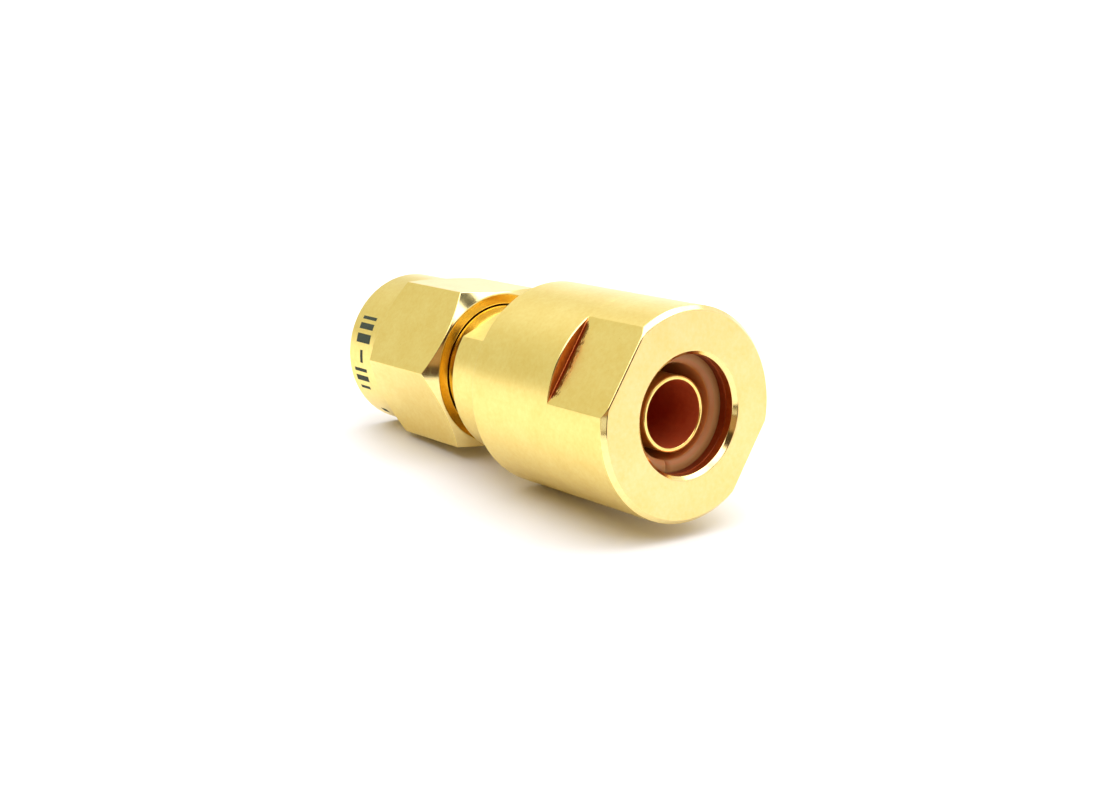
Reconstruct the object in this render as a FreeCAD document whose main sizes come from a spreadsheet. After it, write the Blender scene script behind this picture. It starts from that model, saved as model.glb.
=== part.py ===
import FreeCAD, Part
import math
import os

import Sketcher

# A gold-plated SMA plug for 5 mm coaxial cable, of the clamp type.
# The connector's axis is X. The cable goes in at the +X end and the mating end faces -X.
# The origin is on the axis, in the plug's reference plane: the front of its outer conductor.
# Each piece is turned, so each is an outline revolved about X, then cut for its spanner flats.
# A piece's own x starts at its front end, and its Placement sets it along the axis.
# Threads are plain walls at the pitch diameter, with the thread's own clearance between them.

SIZES = (
    # name, millimetres or degrees, meaning
    ("nut_lead", 3.40, "coupling nut's front, ahead of the reference plane"),
    ("nut_length", 8.51, "coupling nut, front to rear"),
    ("nut_flats", 8.0, "coupling nut across its six flats"),
    ("nut_blank_radius", 4.75, "bar that the six flats are milled from, outside the corners"),
    ("nut_turn", 27.9, "angle of the nut's first flat, as it lies"),
    ("collar_length", 2.53, "round collar in front of the flats"),
    ("collar_radius", 4.0, "round collar"),
    ("nut_cone", 0.66, "length of the turned cone at each end of the flats"),
    ("nut_rear_radius", 3.88, "coupling nut's rear face"),
    ("nut_bore_radius", 3.40, "coupling nut's bore over the plug body"),
    ("nut_thread_radius", 2.82, "minor radius of the 1/4-36 thread"),
    ("nut_thread_end", 4.70, "end of the thread, from the nut's front"),
    ("nut_lead_in", 0.42, "45 degree lead-in at the mouth of the thread"),
    ("fine_edge", 0.08, "broken edge of a turned corner"),
    ("ring_front", 3.68, "snap ring's front face, behind the reference plane"),
    ("ring_width", 0.42, "snap ring, along the axis"),
    ("ring_inner_radius", 2.98, "snap ring"),
    ("ring_outer_radius", 3.57, "snap ring"),
    ("ring_sweep", 328.0, "arc of the snap ring, the rest is its gap"),
    ("ring_play", 0.03, "gap between the snap ring and each wall of the nut's groove"),
    ("nut_groove_radius", 3.62, "floor of the nut's groove for the snap ring"),
    ("float_forward", 0.13, "room for the snap ring in the body's groove, towards the mating end"),
    ("float_rearward", 0.23, "room for the snap ring in the body's groove, towards the cable"),
    ("body_groove_radius", 2.90, "floor of the body's groove for the snap ring"),
    ("nose_radius", 2.285, "plug's outer conductor, outside"),
    ("nose_bore_radius", 2.055, "plug's outer conductor, inside"),
    ("nose_length", 2.60, "from the reference plane to the seal's shoulder"),
    ("neck_radius", 3.30, "plug body inside the coupling nut"),
    ("flange_front", 6.57, "front face of the body's flange"),
    ("flange_rear", 9.57, "rear face of the body's flange"),
    ("flange_radius", 4.09, "body's flange"),
    ("flange_flats", 6.80, "body's flange across its two spanner flats"),
    ("body_turn", 113.0, "angle of the flange's first flat"),
    ("body_thread_radius", 3.72, "body's M8 x 0.75 thread, at the pitch line"),
    ("thread_relief_radius", 3.50, "run-out of the thread behind the flange"),
    ("thread_relief_length", 0.60, "run-out of the thread behind the flange"),
    ("body_rear", 18.30, "rear end of the plug body"),
    ("chamber_front", 5.60, "step from the front to the rear insulator's bore"),
    ("chamber_radius", 2.60, "rear insulator's bore"),
    ("ferrule_seat", 12.0, "shoulder that the ferrule's flange rests on"),
    ("ferrule_bore_radius", 3.20, "body's bore for the ferrule, seal and washer"),
    ("seal_inner_radius", 2.34, "interface seal"),
    ("seal_outer_radius", 3.12, "interface seal"),
    ("seal_length", 0.55, "interface seal, along the axis"),
    ("pin_reach", 1.95, "contact pin's tip, ahead of the reference plane"),
    ("pin_radius", 0.457, "contact pin"),
    ("pin_taper", 0.35, "tapered tip of the contact pin"),
    ("pin_tip_radius", 0.20, "blunt end of the contact pin"),
    ("contact_radius", 0.635, "contact's stem inside the front insulator"),
    ("barrel_radius", 0.80, "contact's solder barrel"),
    ("barrel_rear", 11.20, "rear end of the solder barrel"),
    ("solder_bore_radius", 0.50, "bore for the cable's inner conductor"),
    ("solder_bore_depth", 2.80, "bore for the cable's inner conductor"),
    ("solder_hole_radius", 0.28, "cross hole that solder is fed through"),
    ("insulator_rear", 11.96, "rear end of the rear insulator"),
    ("ferrule_gap", 0.02, "play between the ferrule's flange and its seat"),
    ("ferrule_flange_radius", 3.07, "braid ferrule's flange"),
    ("ferrule_flange_length", 0.80, "braid ferrule's flange"),
    ("ferrule_cone_radius", 2.70, "foot of the cone that the braid spreads over"),
    ("ferrule_cone_length", 1.90, "cone that the braid spreads over"),
    ("ferrule_tube_radius", 1.786, "braid ferrule's tube, outside"),
    ("ferrule_tube_bore", 1.571, "braid ferrule's tube, inside"),
    ("ferrule_rear", 18.44, "rear end of the ferrule's tube"),
    ("ferrule_drop", 0.10, "how far the loose ferrule lies below the axis"),
    ("gasket_front", 15.20, "cable gasket's front"),
    ("gasket_rear", 18.48, "cable gasket's rear"),
    ("gasket_inner_radius", 2.25, "cable gasket"),
    ("gasket_outer_radius", 3.13, "cable gasket"),
    ("gasket_chamfer", 0.18, "bevel at the gasket's inner rim"),
    ("washer_front", 18.50, "thrust washer's front face"),
    ("washer_length", 0.40, "thrust washer, along the axis"),
    ("washer_radius", 3.12, "thrust washer, outside"),
    ("clamp_front", 9.59, "clamp nut's front face"),
    ("clamp_length", 9.93, "clamp nut, front to rear"),
    ("clamp_radius", 5.01, "clamp nut"),
    ("clamp_edge", 0.215, "bevel round the clamp nut's rear face"),
    ("clamp_front_edge", 0.06, "broken edge round the clamp nut's front face"),
    ("clamp_flats", 8.98, "clamp nut across its two spanner flats"),
    ("clamp_flats_start", 5.91, "step where the clamp nut's flats begin, from its front"),
    ("clamp_flats_root", 0.30, "radius at the foot of that step"),
    ("clamp_turn", 147.6, "angle of the clamp nut's first flat"),
    ("clamp_thread_radius", 3.78, "clamp nut's M8 x 0.75 thread, at the pitch line"),
    ("clamp_thread_lead", 0.35, "45 degree lead-in of the clamp nut's thread"),
    ("lip_length", 0.60, "rear wall of the clamp nut"),
    ("entry_radius", 2.775, "cable entry"),
    ("entry_bevel_length", 0.20, "bevel at the mouth of the cable entry, along the axis"),
    ("entry_bevel_depth", 0.20, "bevel at the mouth of the cable entry, radially"),
)

SHEET = "Sizes"
CUT_SPAN = 30.0     # how far a flat's cut reaches beyond the piece, in every direction
AXIS_X = FreeCAD.Vector(1, 0, 0)


class Size:
    """A length with both its number and its formula over the sheet's cells."""

    def __init__(self, value, formula):
        self.value = value
        self.formula = formula

    @staticmethod
    def of(thing):
        if isinstance(thing, Size):
            return thing
        return Size(float(thing), repr(float(thing)))

    def __add__(self, other):
        other = Size.of(other)
        return Size(self.value + other.value, f"({self.formula} + {other.formula})")

    def __sub__(self, other):
        other = Size.of(other)
        return Size(self.value - other.value, f"({self.formula} - {other.formula})")

    def __truediv__(self, number):
        return Size(self.value / number, f"({self.formula} / {number})")


def make_sheet(doc):
    """Write the sizes into the document's sheet, and return them by name."""
    sheet = doc.addObject("Spreadsheet::Sheet", SHEET)
    sizes = {}
    for row, (name, value, meaning) in enumerate(SIZES, 1):
        sheet.set(f"A{row}", name)
        sheet.set(f"B{row}", str(value))
        sheet.set(f"C{row}", meaning)
        sheet.setAlias(f"B{row}", name)
        sizes[name] = Size(value, f"{SHEET}.{name}")
    doc.recompute()
    return sizes


def origin_part(body, role):
    """The body's own origin plane or axis of that role."""
    for feature in body.Origin.OriginFeatures:
        if feature.Role == role:
            return feature
    raise ValueError(f"{body.Label} has no {role}")


def new_body(doc, name, front, turn=None, height=None):
    """An empty body whose front end is at x = front, turned about the axis."""
    body = doc.addObject("PartDesign::Body", name)
    body.Label = name
    body.Placement = FreeCAD.Placement(FreeCAD.Vector(), FreeCAD.Rotation(AXIS_X, 0))
    body.setExpression("Placement.Base.x", Size.of(front).formula)
    if turn is not None:
        body.Placement = FreeCAD.Placement(FreeCAD.Vector(), FreeCAD.Rotation(AXIS_X, turn.value))
        body.setExpression("Placement.Rotation.Angle", f"{turn.formula} * 1 deg")
    if height is not None:
        body.setExpression("Placement.Base.z", height.formula)
    return body


def hold(sketch, kind, axis, line, size):
    """Hold the start of a sketch line at a distance from the sketch's origin, or on its axis."""
    if size.value == 0.0:
        sketch.addConstraint(Sketcher.Constraint("PointOnObject", line, 1, axis))
        return
    where = sketch.addConstraint(Sketcher.Constraint(kind, -1, 1, line, 1, size.value))
    sketch.setExpression(f"Constraints[{where}]", size.formula)


def outline(body, name, corners):
    """A closed outline of straight sides on the body's XY plane, from (x, radius) corners."""
    sketch = body.newObject("Sketcher::SketchObject", name)
    sketch.AttachmentSupport = (origin_part(body, "XY_Plane"), [""])
    sketch.MapMode = "FlatFace"
    corners = [(Size.of(x), Size.of(radius)) for x, radius in corners]
    points = [FreeCAD.Vector(x.value, radius.value, 0) for x, radius in corners]
    count = len(corners)
    for i, point in enumerate(points):
        sketch.addGeometry(Part.LineSegment(point, points[(i + 1) % count]), False)
    for i, (x, radius) in enumerate(corners):
        sketch.addConstraint(Sketcher.Constraint("Coincident", i, 2, (i + 1) % count, 1))
        hold(sketch, "DistanceX", -2, i, x)
        hold(sketch, "DistanceY", -1, i, radius)
    return sketch


def turned(body, corners, sweep=None):
    """Revolve an outline about the axis: all the way round, or by the sweep."""
    profile = outline(body, f"{body.Label}_outline", corners)
    turn = body.newObject("PartDesign::Revolution", f"{body.Label}_turned")
    turn.Profile = profile
    turn.ReferenceAxis = (profile, ["H_Axis"])
    turn.Angle = 360.0
    if sweep is not None:
        turn.setExpression("Angle", f"{sweep.formula} * 1 deg")
    profile.Visibility = False
    body.Document.recompute()
    return turn


def mill_flats(body, count, across, start, end):
    """Mill flats into a turned body, evenly round the axis, from start to end along it."""
    before = body.Shape.Volume
    half = across / 2
    outside = Size.of(CUT_SPAN)
    profile = outline(
        body,
        f"{body.Label}_flat_outline",
        [(start, half), (end, half), (end, outside), (start, outside)],
    )
    cut = body.newObject("PartDesign::Pocket", f"{body.Label}_flat")
    cut.Profile = profile
    cut.Midplane = True
    cut.Length = 2 * CUT_SPAN
    profile.Visibility = False
    body.Document.recompute()
    pattern = body.newObject("PartDesign::PolarPattern", f"{body.Label}_flats")
    pattern.Originals = [cut]
    pattern.Axis = (origin_part(body, "X_Axis"), [""])
    pattern.Angle = 360.0
    pattern.Occurrences = count
    body.Tip = pattern
    body.Document.recompute()
    if not body.Shape.Volume < before:
        raise ValueError(f"{body.Label}: the flats removed nothing")
    return pattern


def round_step_roots(body, pattern, start, across, radius):
    """Round the inner corner at the foot of the step where each flat starts."""
    names = []
    for number, edge in enumerate(pattern.Shape.Edges, 1):
        ends = [vertex.Point for vertex in edge.Vertexes]
        at_step = all(abs(point.x - start.value) < 1e-6 for point in ends)
        at_floor = all(abs(abs(point.y) - across.value / 2) < 1e-6 for point in ends)
        crosses = len(ends) == 2 and abs(ends[0].z - ends[1].z) > radius.value
        straight = isinstance(edge.Curve, (Part.Line, Part.LineSegment))
        if at_step and at_floor and crosses and straight:
            names.append(f"Edge{number}")
    fillet = body.newObject("PartDesign::Fillet", f"{body.Label}_step_roots")
    fillet.Base = (pattern, names)
    fillet.setExpression("Radius", radius.formula)
    body.Tip = fillet
    body.Document.recompute()


def coupling_nut(doc, size):
    """The nut that screws on to the jack: a round collar, then six flats between two cones."""
    length = size["nut_length"]
    blank = size["nut_blank_radius"]
    cone = size["nut_cone"]
    edge = size["fine_edge"]
    bore = size["nut_bore_radius"]
    thread = size["nut_thread_radius"]
    groove = size["nut_groove_radius"]
    groove_front = size["nut_lead"] + size["ring_front"] - size["ring_play"]
    groove_rear = size["nut_lead"] + size["ring_front"] + size["ring_width"] + size["ring_play"]
    front = Size.of(0) - size["nut_lead"]
    body = new_body(doc, "coupling_nut", front, size["nut_turn"])
    turned(body, [
        (0, thread + size["nut_lead_in"]),
        (0, size["collar_radius"] - edge),
        (edge, size["collar_radius"]),
        (size["collar_length"], size["collar_radius"]),
        (size["collar_length"] + cone, blank),
        (length - cone, blank),
        (length, size["nut_rear_radius"]),
        (length, bore + edge),
        (length - edge, bore),
        (groove_rear, bore),
        (groove_rear, groove),
        (groove_front, groove),
        (groove_front, bore),
        (size["nut_thread_end"], bore),
        (size["nut_thread_end"], thread),
        (size["nut_lead_in"], thread),
    ])
    mill_flats(body, 6, size["nut_flats"], size["collar_length"], length + 1)
    return body


def snap_ring(doc, size):
    """The split ring that keeps the coupling nut on the body and lets it turn."""
    body = new_body(doc, "snap_ring", size["ring_front"], size["nut_turn"])
    turned(body, [
        (0, size["ring_inner_radius"]),
        (0, size["ring_outer_radius"]),
        (size["ring_width"], size["ring_outer_radius"]),
        (size["ring_width"], size["ring_inner_radius"]),
    ], size["ring_sweep"])
    return body


def interface_seal(doc, size):
    """The soft ring round the outer conductor that seals against the jack's front."""
    body = new_body(doc, "interface_seal", size["nose_length"] - size["seal_length"])
    turned(body, [
        (0, size["seal_inner_radius"]),
        (0, size["seal_outer_radius"]),
        (size["seal_length"], size["seal_outer_radius"]),
        (size["seal_length"], size["seal_inner_radius"]),
    ])
    return body


def plug_body(doc, size):
    """The plug's outer conductor, neck, flange and rear thread, in one turned piece."""
    edge = size["fine_edge"]
    neck = size["neck_radius"]
    groove_front = size["ring_front"] - size["float_forward"]
    groove_rear = size["ring_front"] + size["ring_width"] + size["float_rearward"]
    relief_end = size["flange_rear"] + size["thread_relief_length"]
    body = new_body(doc, "plug_body", Size.of(0), size["body_turn"])
    turned(body, [
        (0, size["nose_bore_radius"]),
        (0, size["nose_radius"]),
        (size["nose_length"], size["nose_radius"]),
        (size["nose_length"], neck - edge),
        (size["nose_length"] + edge, neck),
        (groove_front, neck),
        (groove_front, size["body_groove_radius"]),
        (groove_rear, size["body_groove_radius"]),
        (groove_rear, neck),
        (size["flange_front"], neck),
        (size["flange_front"], size["flange_radius"] - edge),
        (size["flange_front"] + edge, size["flange_radius"]),
        (size["flange_rear"], size["flange_radius"]),
        (size["flange_rear"], size["thread_relief_radius"]),
        (relief_end, size["thread_relief_radius"]),
        (relief_end, size["body_thread_radius"]),
        (size["body_rear"] - edge, size["body_thread_radius"]),
        (size["body_rear"], size["body_thread_radius"] - edge),
        (size["body_rear"], size["ferrule_bore_radius"]),
        (size["ferrule_seat"], size["ferrule_bore_radius"]),
        (size["ferrule_seat"], size["chamber_radius"]),
        (size["chamber_front"], size["chamber_radius"]),
        (size["chamber_front"], size["nose_bore_radius"]),
    ])
    mill_flats(body, 2, size["flange_flats"], size["flange_front"] - edge, size["flange_rear"])
    return body


def center_contact(doc, size):
    """The pin, its stem and its solder barrel, with the cross hole for the solder."""
    reach = size["pin_reach"]
    stem_end = reach + size["chamber_front"]
    rear = reach + size["barrel_rear"]
    cup = rear - size["solder_bore_depth"]
    body = new_body(doc, "center_contact", Size.of(0) - reach)
    turned(body, [
        (0, 0),
        (0, size["pin_tip_radius"]),
        (size["pin_taper"], size["pin_radius"]),
        (reach, size["pin_radius"]),
        (reach, size["contact_radius"]),
        (stem_end, size["contact_radius"]),
        (stem_end, size["barrel_radius"]),
        (rear, size["barrel_radius"]),
        (rear, size["solder_bore_radius"]),
        (cup, size["solder_bore_radius"]),
        (cup, 0),
    ])
    before = body.Shape.Volume
    hole = body.newObject("Sketcher::SketchObject", "solder_hole_circle")
    hole.AttachmentSupport = (origin_part(body, "XY_Plane"), [""])
    hole.MapMode = "FlatFace"
    middle = rear - size["solder_bore_depth"] / 2
    circle = Part.Circle(FreeCAD.Vector(middle.value, 0, 0), FreeCAD.Vector(0, 0, 1),
                         size["solder_hole_radius"].value)
    hole.addGeometry(circle, False)
    hole.addConstraint(Sketcher.Constraint("PointOnObject", 0, 3, -1))
    along = hole.addConstraint(Sketcher.Constraint("DistanceX", -1, 1, 0, 3, middle.value))
    hole.setExpression(f"Constraints[{along}]", middle.formula)
    wide = hole.addConstraint(Sketcher.Constraint("Radius", 0, size["solder_hole_radius"].value))
    hole.setExpression(f"Constraints[{wide}]", size["solder_hole_radius"].formula)
    cut = body.newObject("PartDesign::Pocket", "solder_hole")
    cut.Profile = hole
    cut.Midplane = True
    cut.Length = 2 * CUT_SPAN
    hole.Visibility = False
    doc.recompute()
    if not body.Shape.Volume < before:
        raise ValueError("the solder hole removed nothing")
    return body


def front_insulator(doc, size):
    """The PTFE sleeve between the contact's stem and the outer conductor."""
    body = new_body(doc, "front_insulator", Size.of(0))
    turned(body, [
        (0, size["contact_radius"]),
        (0, size["nose_bore_radius"]),
        (size["chamber_front"], size["nose_bore_radius"]),
        (size["chamber_front"], size["contact_radius"]),
    ])
    return body


def rear_insulator(doc, size):
    """The PTFE sleeve round the solder barrel, up to the ferrule."""
    length = size["insulator_rear"] - size["chamber_front"]
    body = new_body(doc, "rear_insulator", size["chamber_front"])
    turned(body, [
        (0, size["barrel_radius"]),
        (0, size["chamber_radius"]),
        (length, size["chamber_radius"]),
        (length, size["barrel_radius"]),
    ])
    return body


def braid_ferrule(doc, size):
    """The thin tube that slides under the cable's braid, with a cone and a flange."""
    front = size["ferrule_seat"] + size["ferrule_gap"]
    flange = size["ferrule_flange_length"]
    cone_end = flange + size["ferrule_cone_length"]
    rear = size["ferrule_rear"] - front
    body = new_body(doc, "braid_ferrule", front, height=Size.of(0) - size["ferrule_drop"])
    turned(body, [
        (0, size["ferrule_tube_bore"]),
        (0, size["ferrule_flange_radius"]),
        (flange, size["ferrule_flange_radius"]),
        (flange, size["ferrule_cone_radius"]),
        (cone_end, size["ferrule_tube_radius"]),
        (rear, size["ferrule_tube_radius"]),
        (rear, size["ferrule_tube_bore"]),
    ])
    return body


def cable_gasket(doc, size):
    """The silicone ring that is squeezed on to the cable's jacket."""
    length = size["gasket_rear"] - size["gasket_front"]
    bevel = size["gasket_chamfer"]
    body = new_body(doc, "cable_gasket", size["gasket_front"])
    turned(body, [
        (bevel, size["gasket_inner_radius"]),
        (0, size["gasket_inner_radius"] + bevel),
        (0, size["gasket_outer_radius"]),
        (length, size["gasket_outer_radius"]),
        (length, size["gasket_inner_radius"] + bevel),
        (length - bevel, size["gasket_inner_radius"]),
    ])
    return body


def thrust_washer(doc, size):
    """The brass washer that keeps the turning nut from twisting the gasket."""
    body = new_body(doc, "thrust_washer", size["washer_front"])
    turned(body, [
        (0, size["entry_radius"]),
        (0, size["washer_radius"]),
        (size["washer_length"], size["washer_radius"]),
        (size["washer_length"], size["entry_radius"]),
    ])
    return body


def clamp_nut(doc, size):
    """The large nut that closes the cable end, with two spanner flats at its rear."""
    length = size["clamp_length"]
    radius = size["clamp_radius"]
    edge = size["clamp_edge"]
    front_edge = size["clamp_front_edge"]
    thread = size["clamp_thread_radius"]
    lead = size["clamp_thread_lead"]
    entry = size["entry_radius"]
    lip = length - size["lip_length"]
    body = new_body(doc, "clamp_nut", size["clamp_front"], size["clamp_turn"])
    turned(body, [
        (0, thread + lead),
        (0, radius - front_edge),
        (front_edge, radius),
        (length - edge, radius),
        (length, radius - edge),
        (length, entry + size["entry_bevel_depth"]),
        (length - size["entry_bevel_length"], entry),
        (lip, entry),
        (lip, thread),
        (lead, thread),
    ])
    start = size["clamp_flats_start"]
    flats = mill_flats(body, 2, size["clamp_flats"], start, length + 1)
    round_step_roots(body, flats, start, size["clamp_flats"], size["clamp_flats_root"])
    return body


PIECES = (
    plug_body,
    front_insulator,
    rear_insulator,
    center_contact,
    interface_seal,
    snap_ring,
    coupling_nut,
    braid_ferrule,
    cable_gasket,
    thrust_washer,
    clamp_nut,
)


def check_document(doc, bodies):
    """Stop if any feature failed or any piece isn't one whole solid."""
    for thing in doc.Objects:
        if {"Invalid", "Error"} & set(thing.State):
            raise ValueError(f"{thing.Name} failed: {thing.State}")
    for body in bodies:
        shape = body.Shape
        if shape.isNull() or not shape.isValid() or len(shape.Solids) != 1:
            raise ValueError(f"{body.Label} isn't one valid solid")


def main():
    doc = FreeCAD.newDocument("sma_clamp_plug")
    size = make_sheet(doc)
    bodies = [make(doc, size) for make in PIECES]
    doc.recompute()
    check_document(doc, bodies)
    os.makedirs("parts", exist_ok=True)
    for body in bodies:
        body.Shape.exportStep(f"parts/{body.Label}.step")
        box = body.Shape.BoundBox
        print(f"{body.Label}: x {box.XMin:.3f} to {box.XMax:.3f}, radius {box.ZMax:.3f},"
              f" {body.Shape.Volume:.2f} mm3")


main()
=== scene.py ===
import math

import bpy
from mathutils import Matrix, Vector


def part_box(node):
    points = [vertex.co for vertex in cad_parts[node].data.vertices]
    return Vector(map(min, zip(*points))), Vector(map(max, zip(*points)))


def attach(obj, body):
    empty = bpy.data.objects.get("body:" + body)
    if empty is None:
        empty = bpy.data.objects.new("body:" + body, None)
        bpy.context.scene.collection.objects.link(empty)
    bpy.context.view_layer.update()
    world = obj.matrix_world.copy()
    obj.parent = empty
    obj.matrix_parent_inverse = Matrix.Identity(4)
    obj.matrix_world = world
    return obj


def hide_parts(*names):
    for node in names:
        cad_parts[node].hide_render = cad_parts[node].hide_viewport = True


# A gold-plated coaxial plug lying on a white surface with its cable end towards the viewer.
# Each turned piece is a closed outline in (x, radius), carried round the X axis.
# Lengths in the outlines are millimetres in the frame's own axes.

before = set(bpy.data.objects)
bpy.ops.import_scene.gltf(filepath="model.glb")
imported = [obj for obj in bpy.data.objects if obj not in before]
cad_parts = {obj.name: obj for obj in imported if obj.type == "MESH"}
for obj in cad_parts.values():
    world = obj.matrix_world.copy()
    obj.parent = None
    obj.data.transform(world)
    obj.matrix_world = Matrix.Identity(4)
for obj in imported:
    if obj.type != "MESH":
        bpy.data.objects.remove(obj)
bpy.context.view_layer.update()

MM = 0.001
MICRON = 1e-6
ARC_POINTS = 4                  # points round each softened corner
CORNER_SHARE = 0.42             # the most of a side that one corner's rounding takes
GUARD = 1.15                    # a point beside each rounded corner, this many roundings from it
SIDES = 200                     # evenly spaced lines round a turned piece
EDGE_OFFSETS = (-1.3, -0.6, -0.25, -0.08, 0.08, 0.25, 0.6, 1.3)   # degrees beside a milled edge
EDGE_CLEAR = math.radians(1.7)  # no evenly spaced line is closer than this to a milled edge
FINE, SOFT = 0.02, 0.03         # the rounding of a sharp edge, and of a slightly softer one
THREAD_STEPS = 12               # outline points in one thread pitch
THREAD_FLAT = 0.18              # share of a thread's sharp wave that its flat at 0 takes
THREAD_FLANK = 0.68             # share that its flank takes; the rest is its flat at 1
NO_FADE = 1.0                   # this far outside a piece, its thread doesn't fade inside it
FLAT_BLEND = 0.012              # easing of the edge between a milled flat and the round

# finishes, in the order of a turned or milled piece's materials; all but the plain and polished
# ones are painted light: shade, reflection and, on the face, a highlight
PLAIN, POLISHED, RECESS_REFLECTION, BORE_SHADE, DULL_SHADED, ROOT_SHADE, LIT_FACE, STEP_SHADE = range(8)
# the gasket's second and third materials: painted reflection of the gold on its inner wall,
# painted shade and reflection on its lip
THROAT_REFLECTION, LIP_SHADE = 1, 2


def ends(node):
    """A node's front and rear x, in millimetres."""
    low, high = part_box(node)
    return low[0] / MM, high[0] / MM


def mesh_piece(name, points, faces):
    """A new object in the scene, from points in metres."""
    mesh = bpy.data.meshes.new(name)
    mesh.from_pydata(points, [], faces)
    piece = bpy.data.objects.new(name, mesh)
    bpy.context.scene.collection.objects.link(piece)
    return piece


# ---------------------------------------------------------------- turned shapes

def soften(path):
    """Round each corner (x, radius, rounding) of a closed path. A rounding of 0 leaves it."""
    points = []
    count = len(path)
    for i, (x, radius, rounding) in enumerate(corner[:3] for corner in path):
        here = Vector((x, radius))
        if rounding == 0:
            points.append(here)
            continue
        back = Vector(path[i - 1][:2]) - here
        on = Vector(path[(i + 1) % count][:2]) - here
        back_reach = min(rounding, CORNER_SHARE * back.length)
        on_reach = min(rounding, CORNER_SHARE * on.length)
        start = here + back.normalized() * back_reach
        stop = here + on.normalized() * on_reach
        points.append(here + back.normalized() * back_reach * GUARD)
        for k in range(ARC_POINTS):
            t = k / (ARC_POINTS - 1)
            points.append(start * (1 - t) ** 2 + here * 2 * t * (1 - t) + stop * t ** 2)
        points.append(here + on.normalized() * on_reach * GUARD)
    return points


def finishes(path):
    """The finish of each strip of a softened path. A corner's fourth value names the finish
    of the stretch that starts there, and a corner without one is plain."""
    strips = []
    half = (ARC_POINTS + 2) // 2    # of the strips that a rounded corner makes
    last = path[-1][3] if len(path[-1]) > 3 else PLAIN
    for corner in path:
        here = corner[3] if len(corner) > 3 else PLAIN
        strips += [here] if corner[2] == 0 else [last] * half + [here] * half
        last = here
    return strips


def ring_angles(edges=(), sweep=math.tau):
    """Angles round a piece: evenly spaced, and closer beside each edge that runs along it."""
    count = round(SIDES * sweep / math.tau)
    closed = sweep == math.tau
    even = [sweep * k / count for k in range(count if closed else count + 1)]
    edges = [edge % math.tau for edge in edges]

    def near(angle):
        gaps = [abs((angle - edge + math.pi) % math.tau - math.pi) for edge in edges]
        return min(gaps, default=math.pi) < EDGE_CLEAR

    close = [(edge + math.radians(off)) % math.tau for edge in edges for off in EDGE_OFFSETS]
    return sorted([a for a in even if not near(a)] + close)


def turned_piece(name, path_at, edges=(), sweep=math.tau, drop=0.0, start=0.0):
    """A piece whose outline at each angle is path_at(angle), carried round the X axis.
    start is where its sweep begins, and drop is how far it lies below the axis."""
    closed = sweep == math.tau
    angles = ring_angles(edges, sweep)
    paths = [path_at(angle) for angle in angles]
    rings = [soften(path) for path in paths]
    strips = [finishes(path) for path in paths]
    size = len(rings[0])
    points = []
    for angle, ring in zip(angles, rings):
        turn = angle + start
        for x, radius in ring:
            points.append((x * MM, radius * math.cos(turn) * MM,
                           radius * math.sin(turn) * MM - drop * MM))
    faces = []
    finish = []
    for i in range(len(rings) if closed else len(rings) - 1):
        here = i * size
        there = (i + 1) % len(rings) * size
        for j in range(size):
            k = (j + 1) % size
            faces.append((here + j, there + j, there + k, here + k))
            finish.append(strips[i][j])
    if not closed:
        faces.append(tuple(range(size)))
        faces.append(tuple(range(len(points) - 1, len(points) - 1 - size, -1)))
        finish += [PLAIN, PLAIN]
    piece = mesh_piece(name, points, faces)
    piece.data.polygons.foreach_set("material_index", finish)
    piece.data.shade_smooth()
    return piece


def soft_min(a, b, blend):
    """The smaller of two radii, eased where they meet so that the edge is slightly round."""
    overlap = max(blend - abs(a - b), 0.0) / blend
    return min(a, b) - overlap * overlap * blend / 4


def flats_radius(angle, first, count, half, blend):
    """Distance from the axis to the nearest milled flat, in the direction of the angle."""
    step = math.tau / count
    least = 0.05                    # stands in for the cosine to a flat that faces away
    off = abs((angle - first + step / 2) % step - step / 2)
    nearest = half / max(math.cos(off), least)
    next_flat = half / max(math.cos(step - off), least)
    return soft_min(nearest, next_flat, blend)


def thread_wave(x, angle, pitch, fade_from, fade_to, fade):
    """The wave of a right-hand thread, 0 to 1, fading out at both ends. Inside a nut it is the
    depth of the cut, and on the body it is the height of the ridge."""
    turn = (x / pitch - angle / math.tau) % 1.0
    sharp = 1.0 - abs(2.0 * turn - 1.0)
    wave = min(max((sharp - THREAD_FLAT) / THREAD_FLANK, 0.0), 1.0)
    run_out = min((x - fade_from) / fade, (fade_to - x) / fade, 1.0)
    return wave * max(run_out, 0.0)


def steps_between(start, stop, pitch):
    """Points along a thread, from start to stop."""
    count = round(abs(stop - start) / pitch * THREAD_STEPS)
    return [start + (stop - start) * k / count for k in range(count + 1)]


# ---------------------------------------------------------------- pieces

# the angle of each piece's first flat about the axis
NUT_TURN = math.radians(27.9)
CLAMP_TURN = math.radians(147.6)
BODY_TURN = math.radians(113.0)

COLLAR_RADIUS = 4.0
CLAMP_RADIUS = 5.01
ENTRY_RADIUS = 2.775
CLAMP_STEP = ends("clamp_nut")[0] + 5.91    # x where the clamp nut's flats begin
ROOT_SHADE_REACH = 0.55                          # reach of the painted shade beside that step
LEAST_CUT = 0.04                            # a flat milled less deep than this gets no painted shade at its step
BODY_PITCH = 0.75                           # of the thread between the plug body and clamp nut
FERRULE_DROP = 0.10                         # how far the loose ferrule lies below the axis


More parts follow.
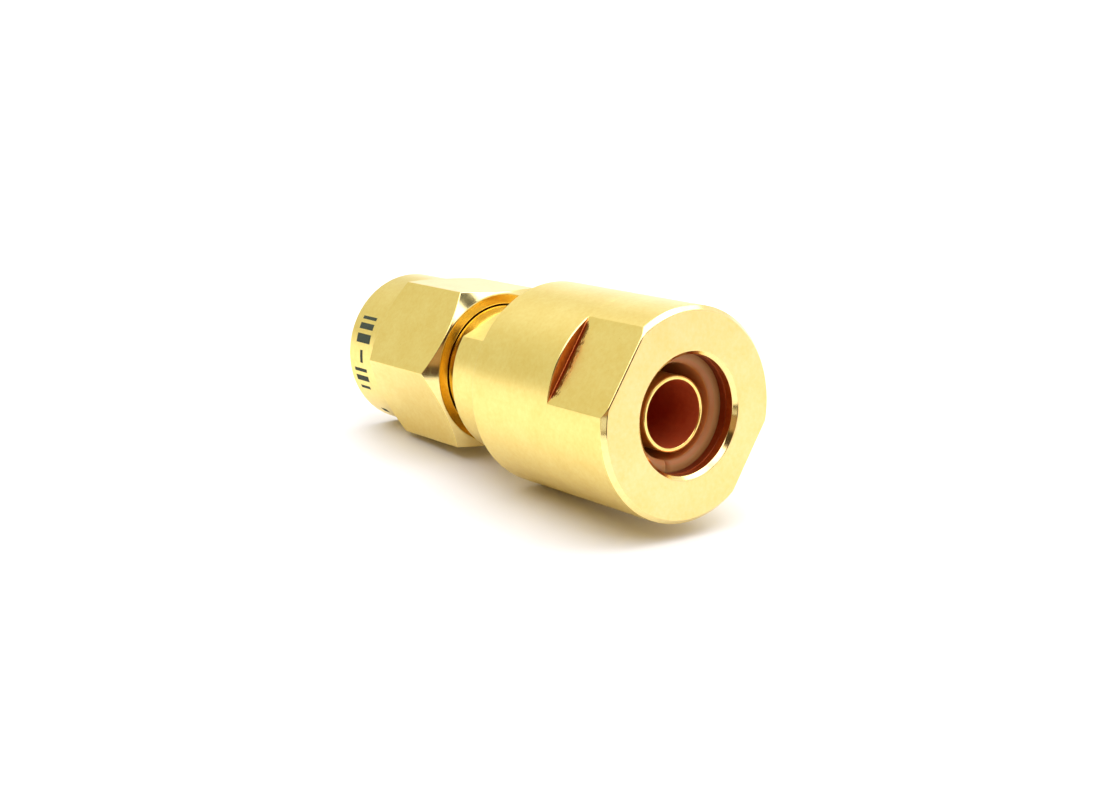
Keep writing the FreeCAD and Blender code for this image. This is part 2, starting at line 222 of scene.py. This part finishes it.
def make_coupling_nut():
    """A round collar, then six flats between two turned cones."""
    front, rear = ends("coupling_nut")
    collar = COLLAR_RADIUS
    collar_end = front + 2.53
    half_flats = 4.0
    least_cone = 0.008                      # the front cone's length where it nearly vanishes
    blank = 4.75
    cone = 0.66
    rear_face = 3.88
    front_slope = (blank - collar) / cone
    rear_slope = (blank - rear_face) / cone
    bore = 3.40
    lip_front, lip_bore, lip_bevel = 4.45, 3.35, 0.05
    groove_front, groove_rear, groove = 3.65, 4.13, 3.62
    minor, root = 2.82, 3.175
    pitch = 25.4 / 36
    thread_end = front + 4.70
    mouth = 3.24
    run_out = 0.4
    threads = steps_between(thread_end - 0.06, front + 0.04, pitch)

    def path_at(angle):
        flat = flats_radius(angle, NUT_TURN, 6, half_flats, SOFT)
        path = [
            (front, mouth, SOFT),
            (front, collar, 0.07),
            (collar_end, collar, FINE),
            (collar_end + max((flat - collar) / front_slope, least_cone), flat, SOFT),
            (rear - (flat - rear_face) / rear_slope, flat, 0.035, POLISHED),
            # the rear face, towards the flange: painted shade and painted reflection
            (rear, rear_face, 0.05, RECESS_REFLECTION),
            (rear, lip_bore + lip_bevel, FINE, POLISHED),
            # the lip's bore is dark red gold: painted shade
            (rear - lip_bevel, lip_bore, FINE, BORE_SHADE),
            (lip_front, lip_bore, FINE, BORE_SHADE),
            (lip_front - lip_bevel, bore, FINE),
            (groove_rear, bore, FINE),
            (groove_rear, groove, FINE),
            (groove_front, groove, FINE),
            (groove_front, bore, FINE),
            (thread_end, bore, FINE),
            (thread_end, minor + 0.05, FINE),
        ]
        for x in threads:
            depth = thread_wave(x, angle, pitch, front - NO_FADE, thread_end, run_out)
            lead_in = mouth - (x - front)
            path.append((x, max(minor + (root - minor) * depth, lead_in), 0))
        return path

    corners = [NUT_TURN + math.tau * (k + 0.5) / 6 for k in range(6)]
    return turned_piece("coupling_nut_skin", path_at, corners)


def make_clamp_nut():
    """A round nut with two flats at its rear, and the cable entry in its rear wall."""
    front, rear = ends("clamp_nut")
    radius = CLAMP_RADIUS
    half_flats = 4.49
    step = CLAMP_STEP
    bevel, least_bevel = 0.215, 0.06
    step_bevel = 0.045                      # smaller where the step is shallow
    entry = ENTRY_RADIUS
    entry_bevel = 0.20
    lip = rear - 0.60
    wall = 3.78
    lead = 0.35
    minor, root = 3.62, 4.02
    run_out = 0.3
    run_out_end = rear - 0.95
    bored_from = rear - 1.25                # behind this the bore is plain
    threads = steps_between(rear - 0.80, front + 0.06, BODY_PITCH)

    def path_at(angle):
        flat = flats_radius(angle, CLAMP_TURN, 2, half_flats, FLAT_BLEND)
        outer = soft_min(radius, flat, FLAT_BLEND)
        land = outer - 0.002                # a hair lower, so that the step never closes up
        over = max(outer - (radius - bevel), least_bevel)
        cut = outer < radius - LEAST_CUT
        edge = min(step_bevel, 0.4 * (radius - outer) + 0.001)
        path = [
            (front, radius, 0.06),
            # where the flat is cut, the step's wall and the flat's root get painted shade
            (step - edge, radius, FINE, POLISHED if cut else PLAIN),
            (step, radius - edge, FINE, STEP_SHADE if cut else PLAIN),
            (step, land, 0.04, ROOT_SHADE if cut else PLAIN),
            (step + ROOT_SHADE_REACH, land, 0),
            (rear - over, land, SOFT, POLISHED),
            # the rear face is paler gold: painted highlight
            (rear, outer - over, SOFT, LIT_FACE),
            (rear, entry + entry_bevel, SOFT, POLISHED),
            # the cable entry's bore and the lip inside it are dark red gold: painted shade
            (rear - entry_bevel, entry, 0.04, BORE_SHADE),
            (lip, entry, SOFT, BORE_SHADE),
            (lip, wall, SOFT),
        ]
        for x in threads:
            depth = thread_wave(x, angle, BODY_PITCH, front - NO_FADE, run_out_end, run_out)
            base = wall if x > bored_from else minor
            lead_in = wall + lead - (x - front)
            path.append((x, max(base + (root - base) * depth, lead_in), 0))
        path.append((front, wall + lead, FINE))
        return path

    half_angle = math.acos(half_flats / radius)
    edges = [CLAMP_TURN + side * math.pi + way * half_angle for side in (0, 1) for way in (-1, 1)]
    return turned_piece("clamp_nut_skin", path_at, edges)


def make_plug_body():
    """The outer conductor, the neck with the snap ring's groove, the flange and the thread."""
    front, rear = ends("plug_body")
    nose_out, nose_in = 2.285, 2.055
    shoulder = front + 2.60
    neck = 3.30
    groove_front, groove_rear, groove = 3.55, 4.35, 2.90
    flange_front, flange_rear = 6.57, 9.57
    flange = 4.09
    half_flats = 3.40
    relief = 3.38
    major, minor = 3.97, 3.53
    run_out = 0.5
    end_bevel = 0.40
    rim = 3.50
    seat, seat_bore = 12.0, 3.20
    chamber_front, chamber = 5.6, 2.60
    threads = steps_between(flange_rear + 0.15, rear - 0.04, BODY_PITCH)

    def path_at(angle):
        flat = flats_radius(angle, BODY_TURN, 2, half_flats, FLAT_BLEND)
        outer = soft_min(flange, flat, FLAT_BLEND)
        path = [
            (front, nose_in, FINE),
            (front, nose_out, SOFT),
            (shoulder, nose_out, SOFT),
            (shoulder, neck, 0.06),
            (groove_front, neck, FINE),
            (groove_front, groove, FINE),
            (groove_rear, groove, FINE),
            # the neck and the flange's front face are warmer gold: painted reflection
            (groove_rear, neck, FINE, RECESS_REFLECTION),
            (flange_front, neck, 0.07, RECESS_REFLECTION),
            (flange_front, outer, 0.06),
            (flange_rear, outer, 0.04),
            (flange_rear, relief, FINE),
        ]
        for x in threads:
            ridge = thread_wave(x, angle, BODY_PITCH, flange_rear + 0.3, rear + 0.4, run_out)
            lead_out = major - end_bevel + (rear - x)
            path.append((x, min(minor + (major - minor) * ridge, lead_out), 0))
        path += [
            (rear, rim, FINE),
            (rear, seat_bore, FINE),
            (seat, seat_bore, FINE),
            (seat, chamber, FINE),
            (chamber_front, chamber, FINE),
            (chamber_front, nose_in, FINE),
        ]
        return path

    half_angle = math.acos(half_flats / flange)
    edges = [BODY_TURN + side * math.pi + way * half_angle for side in (0, 1) for way in (-1, 1)]
    return turned_piece("plug_body_skin", path_at, edges)


def make_ring(node, inner, outer, rounding):
    """A plain ring as long as its node, with softly rounded edges."""
    front, rear = ends(node)
    path = [
        (front, inner, rounding),
        (front, outer, rounding),
        (rear, outer, rounding),
        (rear, inner, rounding),
    ]
    return turned_piece(f"{node}_skin", lambda angle: path)


def make_ferrule():
    """A thin tube with a cone and a flange at its front."""
    front, rear = ends("braid_ferrule")
    tube, bore = 1.786, 1.571
    flange, flange_end = 3.07, front + 0.80
    cone, cone_end = 2.70, front + 2.70
    path = [
        (front, bore, SOFT),
        (front, flange, 0.04),
        (flange_end, flange, 0.04),
        (flange_end, cone, 0.04),
        (cone_end, tube, 0.10),
        # the tube's rear rim is warmer gold: painted reflection
        (rear, tube, 0.09, RECESS_REFLECTION),
        # the bore is dark red: painted shade
        (rear, bore, 0.08, DULL_SHADED),
    ]
    return turned_piece("braid_ferrule_skin", lambda angle: path, drop=FERRULE_DROP)


def make_gasket():
    """The silicone ring, with the small nick that it has in its rear face."""
    front, rear = ends("cable_gasket")
    inner, outer = 2.25, 3.13
    bevel = 0.10
    lip_width, lip_depth = 0.24, 0.16
    nick_angle = math.radians(-98.0)
    nick_width = math.radians(3.2)
    nick_depth = 0.22

    def path_at(angle):
        off = abs((angle - nick_angle + math.pi) % math.tau - math.pi)
        nick = nick_depth * max(1.0 - off / nick_width, 0.0)
        return [
            (front, inner + bevel, 0.05),
            (front, outer, 0.12),
            (rear, outer, 0.12),
            # the lip and inner wall get other silicone colours: painted shade and painted
            # reflection
            (rear - nick, inner + lip_width, 0.16, LIP_SHADE),
            (rear - lip_depth - nick, inner, 0.10, THROAT_REFLECTION),
            (front + bevel, inner, 0.05),
        ]

    return turned_piece("cable_gasket_skin", path_at, [nick_angle])


def make_snap_ring():
    """A ring with one gap."""
    front, rear = ends("snap_ring")
    inner, outer = 2.98, 3.57
    sweep = math.radians(328.0)
    path = [(front, inner, 0.05), (front, outer, 0.05), (rear, outer, 0.05), (rear, inner, 0.05)]
    return turned_piece("snap_ring_skin", lambda angle: path, sweep=sweep, start=NUT_TURN)


def mark_bar(name, x_from, x_to, angle_from, angle_to):
    """A thin dark ink bar on the collar, following its curve."""
    under, top = COLLAR_RADIUS - 0.015, COLLAR_RADIUS + 0.004
    count = 12                      # flat strips in one bar
    points, faces = [], []
    for k in range(count + 1):
        angle = math.radians(angle_from + (angle_to - angle_from) * k / count)
        for x, radius in ((x_from, under), (x_from, top), (x_to, top), (x_to, under)):
            points.append((x * MM, radius * math.cos(angle) * MM, radius * math.sin(angle) * MM))
    for k in range(count):
        for j in range(4):
            n = (j + 1) % 4
            faces.append((4 * k + j, 4 * k + 4 + j, 4 * k + 4 + n, 4 * k + n))
    faces.append((0, 1, 2, 3))
    faces.append((4 * count + 3, 4 * count + 2, 4 * count + 1, 4 * count))
    return mesh_piece(name, points, faces)


# ---------------------------------------------------------------- materials

def node_maker(tree):
    """A short call that makes a node in a tree. Each input is a value, or an output to link."""
    def make(kind, inputs=(), **settings):
        node = tree.nodes.new(kind)
        for key, value in settings.items():
            setattr(node, key, value)
        for socket, value in dict(inputs).items():
            if isinstance(value, bpy.types.NodeSocket):
                tree.links.new(value, node.inputs[socket])
            else:
                node.inputs[socket].default_value = value
        return node

    return make


def node_kit(name):
    """A new node material, with short calls for making its nodes and feeding its surface."""
    material = bpy.data.materials.new(name)
    material.use_nodes = True
    tree = material.node_tree
    surface = next(n for n in tree.nodes if n.type == "BSDF_PRINCIPLED")

    def feed(socket, value):
        tree.links.new(value, surface.inputs[socket])

    return material, surface, node_maker(tree), feed


def remap(make, value, low, high, to_low=0.0, to_high=1.0, **settings):
    """Carry the range low to high over to to_low to to_high, and hold it at both ends."""
    inputs = {0: value, 1: low, 2: high, 3: to_low, 4: to_high}
    return make("ShaderNodeMapRange", inputs, **settings).outputs[0]


def calculate(make, operation, *values):
    """One step of arithmetic, on two or three values."""
    return make("ShaderNodeMath", dict(enumerate(values)), operation=operation).outputs[0]


def mix_colour(make, share, first, second):
    """The first colour where share is 0, and the second where it is 1."""
    return make("ShaderNodeMix", {0: share, 6: first, 7: second}, data_type="RGBA").outputs[2]


def noise(make, place, scale, detail, roughness=0.5):
    """Cloudy noise, 0 to 1."""
    return make("ShaderNodeTexNoise", {"Vector": place, "Scale": scale, "Detail": detail,
                                       "Roughness": roughness}).outputs[0]


def line_noise(make, distance, scale, detail):
    """Noise, 0 to 1, that changes along one distance only."""
    return make("ShaderNodeTexNoise", {"W": distance, "Scale": scale, "Detail": detail},
                noise_dimensions="1D").outputs[0]


def bump(make, height, distance, strength=1.0, **settings):
    """A surface direction bumped by a height of 0 to 1. The distance is in metres."""
    inputs = {"Height": height, "Strength": strength, "Distance": distance}
    return make("ShaderNodeBump", inputs, **settings).outputs[0]


def own_place(make):
    """The object's own coordinates, in metres."""
    return make("ShaderNodeTexCoord").outputs["Object"]


def place_in_mm(make):
    """The object's own coordinates, in millimetres."""
    inputs = {0: own_place(make), 3: 1.0 / MM}
    return make("ShaderNodeVectorMath", inputs, operation="SCALE").outputs[0]


def along_x(make, in_mm):
    """The distance along the X axis."""
    return make("ShaderNodeSeparateXYZ", {0: in_mm}).outputs[0]


def stretched(make, in_mm, factors):
    """Coordinates multiplied by a factor for each axis."""
    return make("ShaderNodeVectorMath", {0: in_mm, 1: factors}, operation="MULTIPLY").outputs[0]


def length(make, in_mm):
    """The distance from the origin."""
    return make("ShaderNodeVectorMath", {0: in_mm}, operation="LENGTH").outputs["Value"]


def off_axis(make, in_mm):
    """The distance from the X axis."""
    return length(make, stretched(make, in_mm, (0.0, 1.0, 1.0)))


def gold(name, deep, bright, roughness, lines, grain, along_axis=0.0, metal=1.0):
    """Gold plate: a slow drift of colour, turning lines round the axis, and a fine satin grain.
    along_axis is how far the turning lines stretch a reflection along the axis, 0 to 1."""
    material, surface, make, feed = node_kit(name)
    in_mm = place_in_mm(make)
    along = calculate(make, "ADD", along_x(make, in_mm), off_axis(make, in_mm))
    turning = line_noise(make, along, 22.0, 3.0)
    drift = noise(make, in_mm, 0.7, 2.0)
    mottle = noise(make, in_mm, 4.5, 5.0, 0.65)
    satin = noise(make, in_mm, 16.0, 3.0)
    blend = calculate(make, "MULTIPLY_ADD", mottle, 1.5, drift)
    share = remap(make, blend, 0.85, 1.65)
    feed("Base Color", mix_colour(make, share, deep, bright))
    satin_rough = calculate(make, "MULTIPLY_ADD", satin, 0.10, roughness - 0.05)
    feed("Roughness", calculate(make, "MULTIPLY_ADD", turning, 0.08, satin_rough))
    groove = calculate(make, "MULTIPLY", turning, lines)
    relief = calculate(make, "MULTIPLY_ADD", satin, grain, groove)
    feed("Normal", bump(make, relief, MICRON))
    surface.inputs["Metallic"].default_value = metal
    if along_axis:
        round_axis = make("ShaderNodeTangent", direction_type="RADIAL", axis="X")
        feed("Tangent", round_axis.outputs[0])
        surface.inputs["Anisotropic"].default_value = along_axis
        surface.inputs["Anisotropic Rotation"].default_value = 0.25
    return material


def shaded_flat_gold(name, plain, streak_shade, root, step, reach, rim):
    """Gold on a milled flat with painted shade: dark in the root of the step at x = step, then
    dark in streaks that thin out away from it. The painted shade fades where the flat is milled
    less deep, out to the radius rim."""
    material, surface, make, feed = node_kit(name)
    in_mm = place_in_mm(make)
    x = along_x(make, in_mm)
    streak = noise(make, stretched(make, in_mm, (2.2, 0.6, 0.6)), 5.0, 4.0, 0.7)
    away = remap(make, x, step, step + reach, 0.42, -0.11)
    shallow = remap(make, off_axis(make, in_mm), rim - 0.22, rim - 0.05, 0.0, -0.5)
    depth = calculate(make, "ADD", away, shallow)
    share = remap(make, calculate(make, "ADD", streak, depth), 0.50, 0.60)
    beyond_root = remap(make, x, step + 0.10, step + 0.20)
    dark = mix_colour(make, beyond_root, root, streak_shade)
    feed("Base Color", mix_colour(make, share, plain, dark))
    feed("Roughness", calculate(make, "MULTIPLY_ADD", share, 0.12, 0.30))
    feed("Normal", bump(make, share, 8 * MICRON, 0.8, invert=True))
    surface.inputs["Metallic"].default_value = 1.0
    return material


def silicone(name, light, dark, subsurface):
    """Soft translucent silicone with a slightly cloudy colour and a dull skin."""
    material, surface, make, feed = node_kit(name)
    place = own_place(make)
    cloud = noise(make, place, 900.0, 4.0)
    feed("Base Color", mix_colour(make, cloud, dark, light))
    skin = noise(make, place, 14000.0, 2.0)
    feed("Roughness", calculate(make, "MULTIPLY_ADD", skin, 0.2, 0.38))
    feed("Normal", bump(make, skin, 2 * MICRON, 0.6))
    surface.inputs["Subsurface Weight"].default_value = subsurface
    surface.inputs["Subsurface Radius"].default_value = (1.0, 0.75, 0.55)
    surface.inputs["Subsurface Scale"].default_value = 0.0012
    surface.inputs["IOR"].default_value = 1.42
    return material


def ptfe(name):
    """White turned PTFE: waxy, with faint turning rings."""
    material, surface, make, feed = node_kit(name)
    rings = line_noise(make, length(make, place_in_mm(make)), 14.0, 3.0)
    feed("Base Color", mix_colour(make, rings, (0.90, 0.89, 0.86, 1), (0.96, 0.96, 0.94, 1)))
    feed("Roughness", calculate(make, "MULTIPLY_ADD", rings, 0.15, 0.36))
    feed("Normal", bump(make, rings, 3 * MICRON))
    surface.inputs["Subsurface Weight"].default_value = 0.3
    surface.inputs["Subsurface Radius"].default_value = (1.0, 0.95, 0.9)
    surface.inputs["Subsurface Scale"].default_value = 0.0004
    return material


def ink(name):
    """Dark grey-green stamping ink, worn thin in places."""
    material, surface, make, feed = node_kit(name)
    worn = noise(make, own_place(make), 9000.0, 3.0)
    feed("Base Color", mix_colour(make, worn, (0.02, 0.03, 0.02, 1), (0.07, 0.085, 0.05, 1)))
    feed("Roughness", calculate(make, "MULTIPLY_ADD", worn, 0.2, 0.6))
    surface.inputs["Specular IOR Level"].default_value = 0.2
    return material


def paper(name):
    """A plain pale surface."""
    material, surface, make, feed = node_kit(name)
    cloud = noise(make, own_place(make), 60.0, 2.0)
    feed("Base Color", mix_colour(make, cloud, (0.82, 0.80, 0.75, 1), (0.84, 0.82, 0.77, 1)))
    surface.inputs["Roughness"].default_value = 0.6
    return material


def dress(piece, *materials):
    """Give a piece its materials, in order."""
    for material in materials:
        piece.data.materials.append(material)


# ---------------------------------------------------------------- the object

DEEP = (0.885, 0.665, 0.185, 1)
BRIGHT = (0.955, 0.775, 0.265, 1)
# a warmer, more orange gold for recesses between gold parts: painted reflection of gold in gold
RECESS_REFLECTION_DEEP = (0.90, 0.64, 0.16, 1)
RECESS_REFLECTION_BRIGHT = (0.97, 0.76, 0.27, 1)
# dark red gold inside bores: painted shade
BORE_SHADE_DEEP = (0.50, 0.105, 0.022, 1)
BORE_SHADE_BRIGHT = (0.66, 0.185, 0.048, 1)

turned_gold = gold("gold_turned", DEEP, BRIGHT, 0.27, 1.6, 0.5, along_axis=0.6)
satin_gold = gold("gold_satin", DEEP, BRIGHT, 0.27, 0.2, 0.9)
bright_gold = gold("gold_bright", (0.90, 0.70, 0.26, 1), (0.965, 0.80, 0.35, 1), 0.09, 0.3, 0.15)
recess_reflection_gold = gold("gold_recess_reflection", RECESS_REFLECTION_DEEP, RECESS_REFLECTION_BRIGHT, 0.13, 1.0, 0.3)
bore_shade_gold = gold("gold_shaded_bore", BORE_SHADE_DEEP, BORE_SHADE_BRIGHT, 0.30, 1.2, 0.8)
# a paler copy of the turned gold for the clamp nut's brightly lit rear face: painted highlight
lit_face_gold = gold("gold_lit_face", (0.885, 0.63, 0.215, 1), (0.955, 0.70, 0.31, 1), 0.27, 1.6, 0.5)
# darker, more orange gold for the coupling nut's rear face, which faces the flange: painted shade
# and painted reflection
ring_shade_gold = gold("gold_ring_shade", (0.72, 0.44, 0.07, 1), (0.86, 0.60, 0.14, 1), 0.15, 1.0, 0.3)
# nearly black-red gold for the washer deep inside the clamp nut: painted shade
washer_gold = gold("gold_washer_shade", (0.28, 0.05, 0.012, 1), (0.36, 0.075, 0.02, 1), 0.35, 1.2, 0.8)
# orange-red gold for the wall of the clamp nut's step: painted shade and painted reflection
step_shade_gold = gold("gold_step_shade", (0.88, 0.22, 0.045, 1), (0.97, 0.34, 0.085, 1), 0.30, 1.2, 0.8)
bronze = gold("spring_bronze", (0.50, 0.26, 0.10, 1), (0.62, 0.34, 0.14, 1), 0.35, 1.0, 0.5)
# a dull, dark red gold for the ferrule's bore: the dull finish is its own, the dark red is painted
# shade
dull_shaded_gold = gold("gold_dull_shaded_tube", (0.58, 0.090, 0.018, 1), (0.67, 0.125, 0.030, 1), 0.55, 1.2, 0.8,
                 metal=0.45)
grey_silicone = silicone("silicone_grey", (0.46, 0.23, 0.075, 1), (0.36, 0.165, 0.045, 1), 0.6)
# redder silicone for the gasket's lip: painted shade and painted reflection
lip_shade_silicone = silicone("silicone_lip_shade", (0.50, 0.20, 0.065, 1), (0.40, 0.15, 0.045, 1), 0.7)
# brighter orange silicone for the gasket's inner wall: painted reflection of the gold around it
throat_reflection_silicone = silicone("silicone_throat_reflection", (0.68, 0.26, 0.075, 1), (0.58, 0.20, 0.050, 1), 0.9)
red_silicone = silicone("silicone_red", (0.80, 0.18, 0.08, 1), (0.68, 0.13, 0.06, 1), 0.4)
white_ptfe = ptfe("ptfe_white")
mark_ink = ink("mark_ink")

# painted shade on the flat beside the clamp nut's step: dark in its root, then in dark streaks
root_shade_gold = shaded_flat_gold("gold_root_shade", (0.92, 0.72, 0.225, 1), (0.20, 0.10, 0.018, 1),
                 (0.17, 0.022, 0.006, 1), CLAMP_STEP, ROOT_SHADE_REACH, CLAMP_RADIUS)
TURNED = (turned_gold, bright_gold, recess_reflection_gold, bore_shade_gold, dull_shaded_gold, root_shade_gold, lit_face_gold, step_shade_gold)
MILLED = (satin_gold, bright_gold, ring_shade_gold, bore_shade_gold)
GASKET = (grey_silicone, throat_reflection_silicone, lip_shade_silicone)


def add(piece, body, slot, materials, *nodes):
    """Dress a piece, let it ride on its body, and hide the CAD nodes it replaces. The slot is not
    used.
    """
    dress(piece, *materials)
    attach(piece, body)
    if nodes:
        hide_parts(*nodes)


add(make_coupling_nut(), "coupling_nut", "nut_gold", MILLED, "coupling_nut")
add(make_clamp_nut(), "clamp_nut", "clamp_gold", TURNED, "clamp_nut")
add(make_plug_body(), "plug", "body_gold", TURNED, "plug_body")
add(make_ferrule(), "plug", "ferrule_gold", TURNED, "braid_ferrule")
add(make_gasket(), "plug", "gasket_silicone", GASKET, "cable_gasket")
add(make_snap_ring(), "coupling_ring", "spring_bronze", (bronze,), "snap_ring")

# the plain rings: node, body, slot, inner and outer radius, rounding, material
for node, body, slot, inner, outer, rounding, material in (
        ("thrust_washer", "clamp_carriage", "washer_gold", ENTRY_RADIUS, 3.12, SOFT, washer_gold),
        ("interface_seal", "plug", "seal_silicone", 2.34, 3.12, 0.12, red_silicone),
        ("front_insulator", "plug", "ptfe", 0.635, 2.05, SOFT, white_ptfe),
        ("rear_insulator", "plug", "ptfe", 0.80, 2.595, 0.05, white_ptfe)):
    add(make_ring(node, inner, outer, rounding), body, slot, (material,), node)

# the centre contact stays as it is in the CAD, in better gold
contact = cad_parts["center_contact"]
contact.data.materials.clear()
dress(contact, bright_gold)

# plain ink bars, where the real collar has a printed code: first and last x, then first and
# last angle in degrees
for number, (x_from, x_to, angle_from, angle_to) in enumerate((
        (-2.75, -1.45, 148.0, 150.6),
        (-2.75, -1.45, 153.6, 158.4),
        (-2.75, -1.45, 162.0, 169.0),
        (-2.30, -2.05, 174.5, 184.5),
        (-2.95, -1.75, 189.0, 191.8),
        (-2.95, -1.75, 195.0, 199.6),
        (-2.85, -1.95, 204.0, 206.6),
        (-2.45, -1.95, 228.0, 233.0))):
    bar = mark_bar(f"collar_mark_{number}", x_from, x_to, angle_from, angle_to)
    add(bar, "coupling_nut", "nut_gold", (mark_ink,))

# ---------------------------------------------------------------- floor, light and camera

CLAMP_REST = Vector((9.62, -CLAMP_RADIUS))      # lowest edge of the clamp nut, in x and z
NUT_REST = Vector((-3.34, -COLLAR_RADIUS))      # lowest edge of the coupling nut's collar
FLOOR_GAP = 5 * MICRON                          # between those edges and the floor
FLOOR_FRONT = 40.0                              # where the floor ends on the viewer's side
FLOOR_REACH = 1500.0                            # how far it goes the other ways
VIEWER_SIDE = Vector((0.792, -0.610))           # towards the viewer, in x and y

CAMERA_PLACE = Vector((75.46, -50.46, 16.40))
CAMERA_TARGET = Vector((9.974, 0.0, -0.843))
CAMERA_LENS = 55.09
SENSOR_WIDTH = 36.0
CLIP_START = 2.0

KEY_PLACE = Vector((60.0, 120.0, 220.0))
KEY_TARGET = Vector((8.0, 0.0, 0.0))
KEY_SIZE = 160.0
KEY_WATTS = 0.16


def make_floor():
    """A plain pale floor, tilted to pass just under the lowest edges of both nuts."""
    slope = (CLAMP_REST.y - NUT_REST.y) / (CLAMP_REST.x - NUT_REST.x)
    across = Vector((-VIEWER_SIDE.y, VIEWER_SIDE.x))
    back, front = -FLOOR_REACH, FLOOR_FRONT
    corners = []
    for near, far in ((front, back), (front, -back), (back, -back), (back, back)):
        x, y = VIEWER_SIDE * near + across * far
        z = CLAMP_REST.y + slope * (x - CLAMP_REST.x)
        corners.append((x * MM, y * MM, z * MM - FLOOR_GAP))
    floor = mesh_piece("floor", corners, [(0, 1, 2, 3)])
    dress(floor, paper("floor_white"))


def make_world():
    """A white light tent, and what stands out in it. Each region is a mask, 0 to 1."""
    world = bpy.data.worlds.new("tent")
    bpy.context.scene.world = world
    world.use_nodes = True
    tree = world.node_tree
    make = node_maker(tree)
    direction = make("ShaderNodeTexCoord").outputs["Generated"]

    def towards(aim, low, high, to_low=0.0, to_high=1.0):
        """A soft step in how far a direction agrees with aim, from cosine low to cosine high."""
        cosine = make("ShaderNodeVectorMath", {0: direction, 1: Vector(aim).normalized()},
                      operation="DOT_PRODUCT").outputs["Value"]
        return remap(make, cosine, low, high, to_low, to_high, interpolation_type="SMOOTHSTEP")

    def both(first, second):
        return calculate(make, "MULTIPLY", first, second)

    up = (0, 0, 1)
    behind = both(towards((-0.5, 0.86, 0), 0.2, 0.7), towards(up, 0.36, 0.18))
    beside = both(towards((-0.75, -0.66, 0), 0.22, 0.38), towards(up, 0.72, 0.64))
    overhead = towards((0.2, -0.20, 0.96), 0.72, 0.80)
    opening = both(towards((0.74, -0.67, 0), 0.62, 0.74), towards(up, 0.67, 0.58))
    viewer = both(opening, both(towards(up, -0.04, 0.01), towards(up, 0.36, 0.28)))
    low_side = both(towards((0.5, -0.866, 0), 0.950, 0.966), towards(up, -0.02, -0.06))
    small_spot = towards((0.645, 0.09, 0.76), 0.988, 0.992)
    camera_ray = make("ShaderNodeLightPath").outputs["Is Camera Ray"]
    white = (1.0, 1.0, 1.0)

    # the tent itself, then each region's strength and colour over those before it
    strength = towards((-0.2, 0.8, 0.5), -0.6, 0.8, 0.92, 1.06)
    colour = (*white, 1)
    for region, own_strength, own_colour in (
            (behind, 1.40, (0.96, 1.0, 1.20)),          # bright and bluish behind the object
            (beside, 0.79, (1.0, 0.985, 0.82)),         # a dimmer, cream wall on the viewer's left
            (overhead, 2.85, (0.97, 1.0, 1.16)),        # a large soft light
            (opening, 0.055, (1.0, 0.55, 0.22)),        # the dark opening on the viewer's side
            (viewer, 0.46, (1.0, 0.62, 0.34)),          # the viewer, a warm band across it
            (low_side, 0.92, (1.0, 0.98, 0.93)),        # a pale patch low down beside the viewer
            (small_spot, 0.04, white),                  # a small dark spot, high at the cable end
            (camera_ray, 1.15, white)):                 # plain white where the camera sees it
        strength = make("ShaderNodeMix", {0: region, 2: strength, 3: own_strength}).outputs[0]
        colour = mix_colour(make, region, colour, (*own_colour, 1))
    back = next(n for n in tree.nodes if n.type == "BACKGROUND")
    tree.links.new(strength, back.inputs["Strength"])
    tree.links.new(colour, back.inputs["Color"])


def make_key_light():
    """One large square light above and behind the object."""
    data = bpy.data.lights.new("key", "AREA")
    data.shape = "SQUARE"
    data.size = KEY_SIZE * MM
    data.energy = KEY_WATTS
    key = bpy.data.objects.new("key", data)
    bpy.context.scene.collection.objects.link(key)
    key.location = KEY_PLACE * MM
    aim = KEY_TARGET * MM - key.location
    key.rotation_euler = aim.to_track_quat("-Z", "Y").to_euler()


def make_camera():
    """The view of the photo: from the cable end and one side, a little above the axis."""
    data = bpy.data.cameras.new("camera")
    data.lens = CAMERA_LENS
    data.sensor_width = SENSOR_WIDTH
    data.clip_start = CLIP_START * MM
    camera = bpy.data.objects.new("camera", data)
    bpy.context.scene.collection.objects.link(camera)
    camera.location = CAMERA_PLACE * MM
    aim = CAMERA_TARGET * MM - CAMERA_PLACE * MM
    camera.rotation_euler = aim.to_track_quat("-Z", "Y").to_euler()
    bpy.context.scene.camera = camera


make_floor()
make_world()
make_key_light()
make_camera()
bpy.context.scene.view_settings.view_transform = "Standard"
